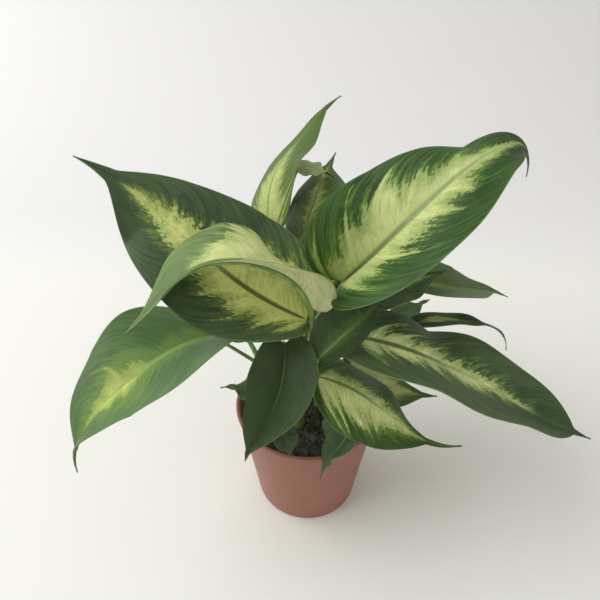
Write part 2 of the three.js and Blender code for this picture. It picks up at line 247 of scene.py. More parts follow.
def leafPatternGroup():
    outputs = {
        "Colour": "NodeSocketColor", "Cream Mask": "NodeSocketFloat", "Height": "NodeSocketFloat",
    }
    tree, start, end = newGroup("leafPattern", {**patternColours, **patternBasics}, outputs)
    value = start.outputs
    share = patternShares

    def times(first, second):
        return mathNode(tree, "MULTIPLY", first, second)

    def plus(first, second):
        return mathNode(tree, "ADD", first, second)

    def minus(first, second):
        return mathNode(tree, "SUBTRACT", first, second)

    leafMap = addNode(tree, "ShaderNodeUVMap", uv_map="leafMap")
    parts = addNode(tree, "ShaderNodeSeparateXYZ")
    tree.links.new(leafMap.outputs[0], parts.inputs[0])
    across = minus(times(parts.outputs[0], 2.0), 1.0)
    along = parts.outputs[1]
    outward = mathNode(tree, "ABSOLUTE", across)
    side = mathNode(tree, "SIGN", across)
    shift = plus(value["Seed"], times(side, 3.7))

    # where on the midrib the vein through this point starts
    bend = times(mathNode(tree, "POWER", outward, 3.0), veinBend)
    veinStart = minus(along, plus(times(outward, veinLean), bend))

    # noise drawn out along the veins, apart from the slow one, which follows the midrib
    def veinNoise(name, lengthways=veinStart):
        alongScale, acrossScale, detail, roughness = patternNoise[name]
        x = times(lengthways, alongScale)
        y = times(outward, acrossScale)
        spot = addNode(tree, "ShaderNodeCombineXYZ")
        feed(tree, spot, {"X": x, "Y": y, "Z": shift})
        return noiseNode(tree, spot.outputs[0], 1.0, detail, roughness)

    wander = veinNoise("wander")
    size = veinNoise("size")
    hairs = veinNoise("hairs")
    flecks = veinNoise("flecks")
    streaks = veinNoise("streaks")
    slow = veinNoise("slow", along)

    # a row of pointed teeth that lean along the veins
    def teeth(count, sway, power):
        place = plus(plus(times(veinStart, count), times(wander, sway)), shift)
        return mathNode(tree, "POWER", times(mathNode(tree, "PINGPONG", place, 0.5), 2.0), power)

    # how far out the cream reaches at this height on the leaf
    rise = mapRange(tree, along, value["Start"], value["Full"])
    fall = mapRange(tree, along, value["Fade"], value["End"], 1.0, 0.0, smooth=False)
    sway = plus(1.0, times(side, value["Lean"]))
    body = times(rise, fall)
    reach = times(times(body, sway), value["Spread"])
    present = mapRange(tree, reach, 0.0, 0.08)
    flames = times(teeth(value["Flames"], 3.0, 2.0), mapRange(tree, size, 0.32, 0.66, 0.35, 1.1))
    licks = times(teeth(times(value["Flames"], 3.1), 7.0, 1.5), share["licks"])
    spikes = times(plus(flames, licks), times(value["Feather"], share["spikes"]))
    wide = times(reach, plus(share["body"], spikes))
    ragged = times(minus(hairs, 0.5), times(value["Feather"], share["ragged"]))
    spotted = times(minus(flecks, 0.5), times(value["Flecks"], share["spotted"]))
    margin = times(plus(ragged, spotted), mathNode(tree, "MINIMUM", times(body, 4.0), 1.0))
    inside = plus(minus(wide, outward), margin)
    creamMask = times(mapRange(tree, inside, -0.05, 0.06), present)

    # a yellow-green halo round the cream, drawn out along the veins
    frayed = plus(times(minus(hairs, 0.5), 0.50), times(minus(slow, 0.5), 0.40))
    frayed = plus(frayed, times(minus(streaks, 0.5), 0.60))
    glowing = mapRange(tree, plus(reach, value["Glow"]), 0.0, 0.08)
    nearness = mapRange(tree, plus(plus(inside, value["Glow"]), frayed), -0.26, 0.06)
    halo = times(nearness, glowing)

    # veins: fine grooves between slightly raised bands
    phase = times(veinStart, veinPairs * 2 * math.pi)
    band = plus(times(mathNode(tree, "SINE", phase), 0.5), 0.5)
    hairBand = plus(times(mathNode(tree, "SINE", times(phase, 5.0)), 0.5), 0.5)

    # the green: darkest beside the cream, with lighter streaks along the veins towards the margin
    outer = mapRange(tree, outward, 0.35, 1.0, 0.25, 1.0)
    shade = mapRange(tree, slow, 0.35, 0.70, 0.0, share["shade"])
    streaked = times(times(mapRange(tree, streaks, 0.40, 0.62), outer), value["Streaks"])
    fine = mapRange(tree, hairs, 0.46, 0.74, 0.0, share["hairs"])

    # the cream: clear beside the midrib, with greener streaks and clouds further out
    tint = times(mapRange(tree, hairs, 0.44, 0.70, 0.0, share["tint"]), creamMask)
    clouds = times(mapRange(tree, slow, 0.48, 0.68, 0.0, share["clouds"]), creamMask)
    deepening = times(mapRange(tree, inside, 0.0, 0.34, share["deepening"], 0.0), creamMask)

    # the midrib thins towards the tip, and a fine light line follows the margin
    ribWidth = times(mapRange(tree, along, 0.0, 1.0, 1.0, 0.3, smooth=False), value["Rib Width"])
    rib = mapRange(tree, outward, times(ribWidth, 0.5), times(ribWidth, 1.3), 1.0, 0.0)
    ribFade = mapRange(tree, along, times(value["Rib End"], 0.5), value["Rib End"], 0.85, 0.15)
    rim = mapRange(tree, outward, 0.965, 0.995, 0.0, share["rim"])

    colour = value["Green"]
    for mask, label in (
            (shade, "Edge"), (streaked, "Edge"), (fine, "Edge"),
            (times(halo, share["halo"]), "Halo"), (creamMask, "Cream"), (tint, "Halo"),
            (clouds, "Halo"), (deepening, "Halo"), (times(rib, ribFade), "Rib"), (rim, "Edge")):
        colour = mixColour(tree, mask, colour, value[label])

    height = plus(times(band, 0.7), times(hairBand, 0.3))
    tree.links.new(colour, end.inputs["Colour"])
    tree.links.new(creamMask, end.inputs["Cream Mask"])
    tree.links.new(height, end.inputs["Height"])
    return tree


leafPattern = leafPatternGroup()


# each leaf's upper side, where it differs from patternColours and patternBasics
midGreen = (0.050, 0.115, 0.026)
darkRib = (0.045, 0.085, 0.018)
leafLooks = {
    # leaf_left_upper: the cream is the leaf's own, but its Cream and Halo colours are made brighter
    # than that, painted light standing in for the light that reaches it through the arching leaf
    # above
    "leaf_left_upper": {
        "Spread": 0.69, "Start": -0.1, "Full": 0.06, "Fade": 0.12, "End": 0.85, "Lean": -0.04,
        "Green": (0.045, 0.081, 0.037), "Edge": (0.130, 0.200, 0.088), "Cream": (0.78, 0.84, 0.30),
        "Halo": (0.205, 0.285, 0.065), "Rib": darkRib, "Rib End": 0.56, "Flecks": 1.4,
        "Feather": 1.2, "Seed": 1.3,
    },
    "leaf_arching": {
        "Spread": 1.40, "Start": -0.3, "Full": 0.0, "Fade": 0.34, "End": 0.66, "Seed": 4.1,
        "Green": (0.110, 0.175, 0.062), "Edge": (0.21, 0.31, 0.105), "Cream": (0.70, 0.76, 0.34),
        "Halo": (0.25, 0.35, 0.11), "Streaks": 0.8,
    },
    "leaf_right_upper": {
        "Spread": 0.52, "Start": -0.2, "Full": 0.04, "Fade": 0.38, "End": 0.90, "Lean": 0.10,
        "Feather": 1.5, "Flames": 6.0, "Streaks": 0.55, "Green": (0.021, 0.053, 0.014),
        "Cream": (0.52, 0.57, 0.235), "Rib": (0.20, 0.27, 0.11), "Rib Width": 0.075,
        "Rib End": 0.95, "Seed": 7.7,
    },
    "leaf_upright": {
        "Spread": 0.90, "Start": -0.2, "Full": 0.0, "Fade": 0.10, "End": 0.56, "Seed": 2.2,
        "Green": (0.065, 0.112, 0.020), "Edge": (0.115, 0.180, 0.042), "Glow": 0.05,
        "Halo": (0.120, 0.190, 0.033), "Cream": (0.42, 0.47, 0.165),
    },
    # leaf_curled: its pale, bright green is painted light, standing in for light that shines
    # through the thin leaf
    "leaf_curled": {
        "Green": (0.46, 0.56, 0.23), "Edge": (0.54, 0.62, 0.30), "Seed": 5.4,
    },
    "leaf_back": {
        "Spread": 0.24, "Start": 0.05, "Full": 0.3, "Fade": 0.4, "End": 0.9, "Feather": 1.5,
        "Green": (0.052, 0.110, 0.037), "Edge": (0.150, 0.250, 0.070), "Cream": (0.72, 0.80, 0.28),
        "Glow": 0.18, "Seed": 8.8,
    },
    "leaf_right_back": {
        "Green": (0.080, 0.135, 0.042), "Rib": (0.19, 0.26, 0.10), "Rib Width": 0.16,
        "Streaks": 0.3, "Seed": 3.4,
    },
    # leaf_right_shaded: its near-black green is painted shade, for the shadow of leaf_right_upper
    # above it
    "leaf_right_shaded": {
        "Spread": 0.10, "Full": 0.3, "Fade": 0.5, "Flecks": 2.0, "Green": (0.014, 0.030, 0.010),
        "Cream": (0.30, 0.34, 0.08), "Seed": 9.9,
    },
    "leaf_right_narrow": {
        "Spread": 0.42, "Start": 0.08, "Full": 0.2, "Fade": 0.25, "End": 0.42, "Seed": 6.1,
    },
    "leaf_right_low": {
        "Spread": 0.37, "Start": -0.05, "Full": 0.2, "Fade": 0.15, "End": 0.80, "Feather": 2.2,
        "Flames": 8.0, "Green": (0.044, 0.078, 0.033), "Edge": (0.130, 0.200, 0.080),
        "Cream": (0.80, 0.88, 0.39), "Halo": (0.17, 0.27, 0.07), "Glow": 0.03, "Rib": darkRib,
        "Rib Width": 0.085, "Rib End": 0.50, "Seed": 2.9,
    },
    "leaf_front_right": {
        "Spread": 0.48, "Start": -0.15, "Full": 0.05, "Fade": 0.40, "End": 0.80, "Lean": -0.30,
        "Flecks": 1.2, "Feather": 1.3, "Flames": 5.0, "Green": (0.044, 0.092, 0.022),
        "Cream": (0.80, 0.86, 0.37), "Halo": (0.19, 0.31, 0.065), "Glow": 0.08,
        "Rib": (0.16, 0.24, 0.09), "Rib Width": 0.06, "Rib End": 0.50, "Seed": 5.9,
    },
    "leaf_right_under": {
        "Spread": 0.95, "Start": -0.1, "Full": 0.1, "Fade": 0.34, "End": 0.86, "Flecks": 1.8,
        "Cream": (0.60, 0.66, 0.27), "Green": (0.080, 0.140, 0.034), "Glow": 0.1, "Seed": 1.9,
    },
    "leaf_front": {
        "Green": (0.036, 0.065, 0.025), "Edge": (0.078, 0.125, 0.048), "Rib": (0.100, 0.155, 0.058),
        "Seed": 7.1,
    },
    "leaf_left_low": {
        "Spread": 0.34, "Start": 0.28, "Full": 0.56, "Fade": 0.50, "End": 0.76, "Feather": 1.9,
        "Flecks": 0.6, "Flames": 8.0, "Green": (0.068, 0.135, 0.048), "Edge": (0.15, 0.24, 0.080),
        "Cream": (0.52, 0.58, 0.155), "Halo": (0.150, 0.250, 0.058), "Rib": (0.24, 0.36, 0.11),
        "Rib Width": 0.06, "Glow": 0.18, "Streaks": 0.55, "Seed": 4.6,
    },
    # leaf_left_small: its green and edge colours are lighter than the leaf's own, painted light
    # making up for the shade it sits in
    "leaf_left_small": {
        "Green": (0.100, 0.160, 0.078), "Edge": (0.15, 0.23, 0.11), "Seed": 0.4,
    },
    "leaf_front_small": {
        "Green": (0.070, 0.110, 0.060), "Edge": (0.11, 0.17, 0.09), "Seed": 0.9,
    },
    "leaf_front_hanging": {
        "Green": (0.068, 0.118, 0.050), "Edge": (0.15, 0.23, 0.10), "Rib": (0.20, 0.28, 0.15),
        "Rib Width": 0.08, "Seed": 1.1,
    },
    "leaf_centre": {
        "Green": (0.035, 0.066, 0.023), "Edge": (0.074, 0.122, 0.044), "Rib": (0.16, 0.24, 0.08),
        "Rib Width": 0.10, "Glow": 0.18, "Halo": (0.080, 0.145, 0.042), "Seed": 3.1,
    },
    "leaf_right_small": {
        "Green": (0.110, 0.185, 0.070), "Edge": (0.16, 0.25, 0.10), "Seed": 2.6,
    },
    "leaf_rear_left": {"Spread": 0.5, "Seed": 6.6},
    "leaf_rear": {"Spread": 0.55, "Seed": 8.2},
    "leaf_rear_right": {"Spread": 0.4, "Lean": 0.1, "Seed": 9.1},
    "leaf_rear_low_left": {"Spread": 0.25, "Green": midGreen, "Seed": 5.1},
    "leaf_rear_low": {"Spread": 0.2, "Green": midGreen, "Seed": 0.7},
}


# leaf and stem finishes: each leaf's underside keeps its pattern in paler colours
upperFinish = {"greenRoughness": 0.44, "creamRoughness": 0.50, "specular": 0.14}
underFinish = {"roughness": 0.55, "specular": 0.25}
underColours = {
    "Green": (0.080, 0.130, 0.050),
    "Edge": (0.17, 0.25, 0.085),
    "Cream": (0.74, 0.76, 0.42),
    "Halo": (0.24, 0.33, 0.12),
    "Rib": (0.26, 0.36, 0.14),
}
veinRelief = {"strength": 0.3, "distance": 0.0003}
stemFinish = {
    "upward": 0.35,         # below 1 the marks are drawn out along the stem
    "blotches": 110.0,
    "streaks": 420.0,
    "streakShare": 0.3,
    "roughness": 0.42,
    "relief": {"strength": 0.2, "distance": 0.0003},
}


def leafMaterial(name, looks):
    material, tree, shader = newMaterial(name)
    pattern = addNode(tree, "ShaderNodeGroup", node_tree=leafPattern)
    feed(tree, pattern, looks)
    bumpInto(tree, shader, pattern.outputs["Height"], **veinRelief)
    return material, tree, shader, pattern


def upperMaterial(name, looks):
    settings = upperFinish
    material, tree, shader, pattern = leafMaterial(name + "Upper", looks)
    ends = (settings["greenRoughness"], settings["creamRoughness"])
    gloss = mapRange(tree, pattern.outputs["Cream Mask"], 0.0, 1.0, *ends, smooth=False)
    setSkin(tree, shader, pattern.outputs["Colour"], gloss, settings["specular"])
    return material


def underMaterial(name, looks):
    material, tree, shader, pattern = leafMaterial(name + "Under", {**looks, **underColours})
    setSkin(tree, shader, pattern.outputs["Colour"], **underFinish)
    return material


def stemMaterial(name, pale, dark):
    settings = stemFinish
    material, tree, shader = newMaterial(name)
    coords = stretched(tree, objectCoords(tree), settings["upward"])
    blotch = noiseNode(tree, coords, settings["blotches"], 4.0)
    streak = noiseNode(tree, coords, settings["streaks"], 2.0)
    colour = mixColour(tree, mapRange(tree, blotch, 0.38, 0.66), pale, dark)
    lines = mapRange(tree, streak, 0.5, 0.75, 0.0, settings["streakShare"])
    colour = mixColour(tree, lines, colour, dark)
    setSkin(tree, shader, colour, settings["roughness"])
    bumpInto(tree, shader, streak, **settings["relief"])
    return material


stalkLook = stemMaterial("leafStalk", (0.30, 0.42, 0.14), (0.14, 0.26, 0.07))
caneLook = stemMaterial("caneSkin", (0.34, 0.40, 0.16), (0.16, 0.25, 0.08))
print("leaf materials ready")


# canes: where each stands in the soil and ends, in mm
caneShapes = {
    "front": {"foot": (-8, -20, 58), "top": (-5, -19, 138), "radius": 4.4},
    "centre": {"foot": (10, 4, 58), "top": (10, 0, 158), "radius": 4.8},
    "left": {"foot": (-27, -2, 58), "top": (-28, 6, 150), "radius": 4.4},
    "front_right": {"foot": (22, -26, 60), "top": (20, -28, 122), "radius": 3.8},
    "back": {"foot": (-6, 28, 58), "top": (-8, 32, 160), "radius": 4.8},
    "right_back": {"foot": (30, 30, 58), "top": (38, 34, 140), "radius": 4.2},
}
rearForm = {"cup": -10, "wave": 1.8, "round": 0.38, "taper": 0.98, "tail": 14}


# leaves: base is where the blade starts, in mm; heading and rise are the midrib's compass
# direction and slope in degrees from base to tip, roll turns the blade about it, fold raises
# each half from flat, cup bends the halves on towards the margin, slim narrows the left half,
# tip is half the width where the drip tip starts, and stem thins the stalk
leafShapes = {
    "leaf_left_upper": {
        "cane": "centre", "from": 132, "out": 190, "base": (-2, -19, 204), "length": 187,
        "width": 104, "heading": (174, 170, 149, 181), "rise": (21, 42, 32, 31),
        "roll": (-11, -23, -23, 7), "fold": (36, 5, -6, 21), "cup": -13, "slim": 0.86, "wave": 1.2,
        "round": 0.4, "taper": 0.77, "tail": 22, "tip": 7,
    },
    "leaf_arching": {
        "cane": "centre", "from": 136, "lean": 0.6, "out": -100, "base": (2, -23, 216),
        "length": 153, "width": 67, "heading": (179, 196, 188, 201, 222),
        "rise": (76, 38, 1, -45, -26), "roll": (39, 21, 1, 9, 7), "fold": (39, 25, 40, 30, 16),
        "cup": -21, "wave": 1.2, "round": 0.52, "taper": 1.01, "tail": 9,
    },
    "leaf_right_upper": {
        "cane": "centre", "from": 158, "lean": 0.3, "out": 40, "base": (23, -12, 231),
        "length": 181, "width": 94, "heading": (-15, 2, 26, 43), "rise": (50, 53, 45, 5, -88),
        "roll": (55, 29, 5, 63), "fold": (64, 22, -3, -4), "cup": -11, "wave": 2.4, "round": 0.34,
        "taper": 1.18, "tail": 11, "lobe": 6,
    },
    "leaf_upright": {
        "cane": "left", "from": 150, "out": 90, "base": (-31, 51, 239), "length": 142, "width": 58,
        "heading": (93, 52, 49), "rise": (78, 22, 32, 10), "roll": (-55, -28, 0), "fold": (6, -8),
        "cup": -14, "round": 0.36, "taper": 0.9, "tail": 21,
    },
    "leaf_curled": {
        "cane": "back", "from": 150, "out": 118, "base": (-6, 100, 270), "length": 30, "width": 29,
        "heading": (-5, -9, -7), "rise": (-6, -14, -20, -36), "roll": (6, -1, -39),
        "fold": (-1, 11), "cup": -12, "round": 0.46, "taper": 0.88, "tail": 3, "stem": 0.7,
    },
    "leaf_back": {
        "cane": "back", "from": 162, "out": 90, "base": (-7, 39, 231), "length": 119, "width": 57,
        "heading": (64, 79, 69), "rise": (48, 16, 2, 17), "roll": (-37, -19, 20), "fold": (-4, 4),
        "cup": -17, "round": 0.41, "taper": 0.96, "tail": 18,
    },
    "leaf_right_back": {
        "cane": "right_back", "from": 140, "out": 0, "base": (74, 30, 204), "length": 119,
        "width": 48, "heading": (-16, 38, 16), "rise": (-2, -22, -21, -31), "roll": (10, 8, 0),
        "fold": (29, 18), "cup": -6, "round": 0.41, "taper": 0.97, "tail": 13,
    },
    "leaf_right_shaded": {
        "cane": "centre", "from": 146, "lean": 0.6, "out": 80, "base": (38, 3, 206), "length": 72,
        "width": 43, "heading": (3, 22, 29), "rise": (27, 9, 1, 0), "roll": (7, 7, 4),
        "fold": (14, 9), "cup": -12, "round": 0.43, "taper": 0.93, "tail": 11,
    },
    "leaf_right_narrow": {
        "cane": "right_back", "from": 112, "out": 15, "base": (80, 31, 160), "length": 120,
        "width": 25, "heading": (5, 12, 5), "rise": (13, -9, -26, -82), "roll": (-15, -4, 8),
        "fold": (9, 13), "cup": -12, "round": 0.42, "taper": 0.95, "tail": 41,
    },
    "leaf_right_low": {
        "cane": "centre", "from": 136, "lean": 0.4, "out": 0, "base": (27, -12, 184), "length": 191,
        "width": 91, "heading": (-25, -15, -16, -11), "rise": (12, -19, -27, -18),
        "roll": (1, -14, -2, 14), "fold": (10, 4, 19, 29), "cup": -4, "wave": 2.2, "round": 0.46,
        "taper": 0.73, "tail": 13, "lobe": 5,
    },
    "leaf_front_right": {
        "cane": "front_right", "from": 122, "out": 180, "base": (7, -40, 170), "length": 125,
        "width": 72, "heading": (-3, -15, -1), "rise": (-16, -38, -41, 9), "roll": (-4, 4, 6),
        "fold": (-6, -3), "cup": -19, "wave": 1.6, "round": 0.42, "taper": 0.96, "tail": 25,
    },
    "leaf_right_under": {
        "cane": "front_right", "from": 104, "out": 60, "base": (34, -6, 141), "length": 88,
        "width": 56, "heading": (18, 6, 4), "rise": (-25, -42, -21, -8), "roll": (1, 6, -1),
        "fold": (16, 11), "cup": -10, "wave": 0.8, "round": 0.34, "taper": 0.97, "tail": 11,
    },
    "leaf_front": {
        "cane": "front", "from": 120, "out": 200, "base": (-17, -36, 196), "length": 86,
        "width": 51, "heading": (-83, -125, -154), "rise": (-47, -47, -41, -71),
        "roll": (-7, -18, -5), "fold": (31, 35), "cup": -7, "round": 0.41, "taper": 0.95, "tail": 6,
        "lobe": 7,
    },
    "leaf_left_low": {
        "cane": "left", "from": 132, "out": 215, "base": (-67, -21, 191), "length": 146,
        "width": 94, "heading": (-136, -146, -145), "rise": (21, -15, -40, -88),
        "roll": (17, -7, 16), "fold": (19, 20, 30), "cup": -6, "wave": 2, "round": 0.3, "taper": 1,
        "tail": 17, "stem": 0.6, "slim": 0.96,
    },
    "leaf_left_small": {
        "cane": "left", "from": 106, "out": 200, "base": (-41, -23, 134), "length": 29, "width": 20,
        "heading": (163, 164, 176), "rise": (27, 10, -8, -21), "roll": (-4, -7, -1),
        "fold": (16, 12), "cup": -10, "round": 0.42, "taper": 0.95, "tail": 11, "small": True,
    },
    "leaf_front_small": {
        "cane": "front", "from": 104, "out": 250, "base": (-19, -54, 131), "length": 20,
        "width": 19, "heading": (-87, -55, -74), "rise": (-1, -21, -49, -73), "roll": (-5, -1, 2),
        "fold": (17, 13), "cup": -10, "round": 0.43, "taper": 0.64, "tail": 3, "small": True,
    },
    "leaf_front_hanging": {
        "cane": "front_right", "from": 104, "out": -40, "base": (33, -49, 130), "length": 49,
        "width": 44, "heading": (-124, -155, -130), "rise": (-41, -43, -50, -70),
        "roll": (15, 21, -3), "fold": (35, 22), "cup": -7, "round": 0.38, "taper": 0.96, "tail": 11,
        "small": True,
    },
    "leaf_centre": {
        "cane": "front", "from": 138, "out": 60, "base": (6, -45, 191), "length": 56, "width": 34,
        "heading": (22, 36, 46), "rise": (42, 22, 16), "roll": (50, 40, 20), "fold": (0, 4),
        "cup": -9, "round": 0.6, "taper": 0.64, "tail": 3, "small": True, "slim": 1.3,
    },
    "leaf_right_small": {
        "cane": "right_back", "from": 124, "out": -10, "base": (71, 33, 169), "length": 34,
        "width": 22, "heading": (-5, 30, 30), "rise": (22, 10, 0), "roll": (-2, -6, 2),
        "fold": (12, 7), "cup": -13, "round": 0.43, "taper": 0.93, "tail": 8, "small": True,
    },
    "leaf_rear_left": {
        "cane": "back", "from": 138, "out": 150, "base": (-34, 52, 205), "length": 142, "width": 70,
        "heading": (150, 145, 150), "rise": (35, 10, -20, -50), "roll": (0, 5, 0), "fold": (22, 12),
        **rearForm,
    },
    "leaf_rear": {
        "cane": "back", "from": 126, "out": 80, "base": (18, 56, 174), "length": 132, "width": 66,
        "heading": (80, 85, 80), "rise": (30, 5, -25, -50), "roll": (0, 0, 0), "fold": (22, 12),
        **rearForm,
    },
    "leaf_rear_right": {
        "cane": "right_back", "from": 130, "out": 90, "base": (56, 58, 200), "length": 128,
        "width": 62, "heading": (62, 55, 60), "rise": (38, 10, -25, -50), "roll": (0, -5, 0),
        "fold": (20, 12), **rearForm,
    },
    "leaf_rear_low_left": {
        "cane": "left", "from": 112, "out": 140, "base": (-52, 34, 146), "length": 92, "width": 48,
        "heading": (150, 160, 150), "rise": (25, -5, -35, -60), "roll": (0, 0, 0), "fold": (18, 12),
        "cup": -10, "round": 0.4, "taper": 0.95, "tail": 10,
    },
    "leaf_rear_low": {
        "cane": "back", "from": 118, "out": 60, "base": (8, 51, 146), "length": 84, "width": 44,
        "heading": (80, 90, 95), "rise": (20, -10, -40, -60), "roll": (0, 0, 0), "fold": (18, 12),
        "cup": -10, "round": 0.4, "taper": 0.95, "tail": 10,
    },
}

leafBasics = {
    "thick": 0.6,
    "grid": (110, 36),      # rows along the blade and columns across it
    "smallGrid": (60, 20),
    "cupSteps": 6,
    "crowding": 0.09,       # how far the rows crowd towards both ends
    "tip": 2.5,
    "lobe": 4.0,
    "lobeReach": 0.14,
    "wave": 1.2,
    "waveCount": 2.6,
    "waveLag": 0.4,
    "quilt": 0.12,          # how far the blade swells between its veins
    "groove": 0.55,
    "grooveWidth": 2.2,
    "narrow": 8.0,          # half width below which swell and groove fade out
    "sway": 0.9,            # slow unevenness of the margin
    "midribSteps": 60,
    "stalkSteps": 22,
    "ribSteps": 30,
    "stalkFoot": 2.9,
    "stalkNeck": 1.9,
    "sheath": 0.28,         # how much thicker the stalk starts, over sheathReach of its length
    "sheathReach": 0.35,
    "ribEnd": 0.5,
    "ribReach": 0.86,
    "lean": 0.8,
    "smallStem": 0.6,
}


def along(stops, s):
    place = min(max(s, 0.0), 1.0) * (len(stops) - 1)
    index = min(int(place), len(stops) - 2)
    return stops[index] + (stops[index + 1] - stops[index]) * (place - index)


def bladeAxes(leaf, s):
    heading = math.radians(along(leaf["heading"], s))
    rise = math.radians(along(leaf["rise"], s))
    roll = math.radians(along(leaf["roll"], s))
    ahead = math.cos(rise)
    forward = Vector((ahead * math.cos(heading), ahead * math.sin(heading), math.sin(rise)))
    level = Vector((-math.sin(heading), math.cos(heading), 0))
    above = forward.cross(level)
    left = level * math.cos(roll) + above * math.sin(roll)
    upper = above * math.cos(roll) - level * math.sin(roll)
    return forward, left, upper


def midribPoints(leaf):
    steps = leafBasics["midribSteps"]
    points = [Vector(leaf["base"])]
    for i in range(steps):
        forward = bladeAxes(leaf, (i + 0.5) / steps)[0]
        points.append(points[-1] + forward * (leaf["length"] / steps))
    return points


def halfWidth(leaf, s):
    tail = leaf["tail"] / leaf["length"]
    x = min(s / (1 - tail), 1.0)
    widest = leaf["round"] / (leaf["round"] + leaf["taper"])
    peak = widest ** leaf["round"] * (1 - widest) ** leaf["taper"]
    blade = leaf["width"] / 2 * x ** leaf["round"] * (1 - x) ** leaf["taper"] / peak
    tip = leaf.get("tip", leafBasics["tip"]) * min(1.0, (1 - s) / tail) * min(1.0, 4 * s)
    return (blade ** 3 + tip ** 3) ** (1 / 3)


def bladeRow(leaf, points, s, columns, seed):
    # one row of the blade across the midrib, from the right margin to the left
    basics = leafBasics
    forward, left, upper = bladeAxes(leaf, s)
    middle = along(points, s)
    fold = math.radians(along(leaf["fold"], s))
    cup = math.radians(leaf["cup"])
    width = halfWidth(leaf, s)
    steps = basics["cupSteps"]
    row = []
    for j in range(columns + 1):
        signed = 2 * j / columns - 1
        side = 1 if signed > 0 else -1
        u = abs(signed)
        half = max(width * (1 + side * (leaf.get("slim", 1.0) - 1)), 0.6)
        out = 0.0
        raised = 0.0
        for i in range(steps):
            slope = fold + cup * u * (i + 0.5) / steps
            out += math.cos(slope) * u / steps
            raised += math.sin(slope) * u / steps
        near = math.exp(-((s / basics["lobeReach"]) ** 2)) * min(1.0, half / (0.15 * leaf["width"]))
        back = leaf.get("lobe", basics["lobe"]) * near * u * u
        turn = basics["waveCount"] * s + (0 if side > 0 else basics["waveLag"])
        height = leaf.get("wave", basics["wave"]) * math.sin(math.pi * s) * u * u
        wave = height * math.sin(2 * math.pi * turn)
        spread = min(1.0, half / basics["narrow"])
        vein = math.sin(2 * math.pi * veinPairs * (s - veinLean * u - veinBend * u ** 3))
        swell = vein * math.sin(math.pi * min(1, u * 1.02)) * spread
        groove = math.exp(-((u * half / basics["grooveWidth"]) ** 2)) * (1 - s) * spread
        sway = noise.noise(Vector((s * 5, signed * 1.5, seed))) * u * u * math.sin(math.pi * s)
        lift = wave + basics["quilt"] * swell - basics["groove"] * groove + basics["sway"] * sway
        point = middle + left * (side * out * half) - forward * back
        row.append((point + upper * (raised * half + lift)) * mm)
    return row


def addBlade(name, leaf):
    basics = leafBasics
    looks = leafLooks[name]
    rows, columns = basics["smallGrid"] if leaf.get("small") else basics["grid"]
    deselectAll()
    bpy.ops.mesh.primitive_grid_add(x_subdivisions=columns, y_subdivisions=rows, size=1)
    blade = added(name)
    points = midribPoints(leaf)
    grid = []
    heights = []
    for i in range(rows + 1):
        t = i / rows
        s = t - basics["crowding"] * math.sin(2 * math.pi * t)
        heights.append(s)
        grid.append(bladeRow(leaf, points, s, columns, looks["Seed"]))
    spots = []
    for vertex in blade.data.vertices:
        i = round((vertex.co.y + 0.5) * rows)
        j = columns - round((vertex.co.x + 0.5) * columns)
        vertex.co = grid[i][j]
        spots.append((j / columns, heights[i]))
    leafMap = blade.data.uv_layers[0]
    leafMap.name = "leafMap"
    for loop in blade.data.loops:
        leafMap.data[loop.index].uv = spots[loop.vertex_index]
    for material in (upperMaterial(name, looks), underMaterial(name, looks), stalkLook):
        blade.data.materials.append(material)
    shell = blade.modifiers.new("shell", "SOLIDIFY")
    shell.thickness = basics["thick"] * mm
    shell.offset = 0
    shell.material_offset = 1
    shell.material_offset_rim = 1
    applyModifier(blade, shell)
    return blade, points


def addTube(name, points, radii, sides=4):
    # a round tube through the points, in mm, with a radius at each
    deselectAll()
    bpy.ops.curve.primitive_bezier_curve_add()
    tube = added(name)
    path = tube.data
    path.splines.clear()
    path.dimensions = "3D"
    path.twist_mode = "MINIMUM"
    line = path.splines.new("POLY")
    line.points.add(len(points) - 1)
    for spot, point, radius in zip(line.points, points, radii):
        spot.co = (*(point * mm), 1.0)
        spot.radius = radius * mm
    line.use_smooth = True
    path.bevel_depth = 1.0
    path.bevel_resolution = sides
    path.use_fill_caps = True
    makeActive(tube)
    bpy.ops.object.convert(target="MESH")
    return bpy.context.object


def canePoint(cane, share):
    foot = Vector(cane["foot"])
    top = Vector(cane["top"])
    bend = Vector((foot.x, foot.y, (foot.z + top.z) / 2))
    return foot.lerp(bend, share).lerp(bend.lerp(top, share), share)


def stalkPoints(leaf):
    # a smooth curve from the cane to the blade, as points and radii
    basics = leafBasics
    steps = basics["stalkSteps"]
    cane = caneShapes[leaf["cane"]]
    share = (leaf["from"] - cane["foot"][2]) / (cane["top"][2] - cane["foot"][2])
    foot = canePoint(cane, min(share, 1.0))
    out = math.radians(leaf["out"])
    if share >= 1:
        start = (canePoint(cane, 1.0) - canePoint(cane, 0.98)).normalized()
    else:
        lean = leaf.get("lean", basics["lean"])
        start = Vector((math.cos(out) * lean, math.sin(out) * lean, 1)).normalized()
    forward, left, upper = bladeAxes(leaf, 0)
    neck = Vector(leaf["base"]) + upper * (0.3 - basics["stalkNeck"])
    reach = (neck - foot).length
    leaving = foot + start * (reach * 0.4)
    arriving = neck - forward * min(12, reach * 0.25) - Vector((0, 0, min(8, reach * 0.2)))
    line = []
    radii = []
    for i in range(steps + 1):
        t = i / steps
        a = foot.lerp(leaving, t)
        b = leaving.lerp(arriving, t)
        c = arriving.lerp(neck, t)
        line.append(a.lerp(b, t).lerp(b.lerp(c, t), t))
        sheath = 1.0 + basics["sheath"] * max(0.0, 1 - t / basics["sheathReach"])
        radii.append((basics["stalkFoot"] * (1 - t) + basics["stalkNeck"] * t) * sheath)
    return line, radii


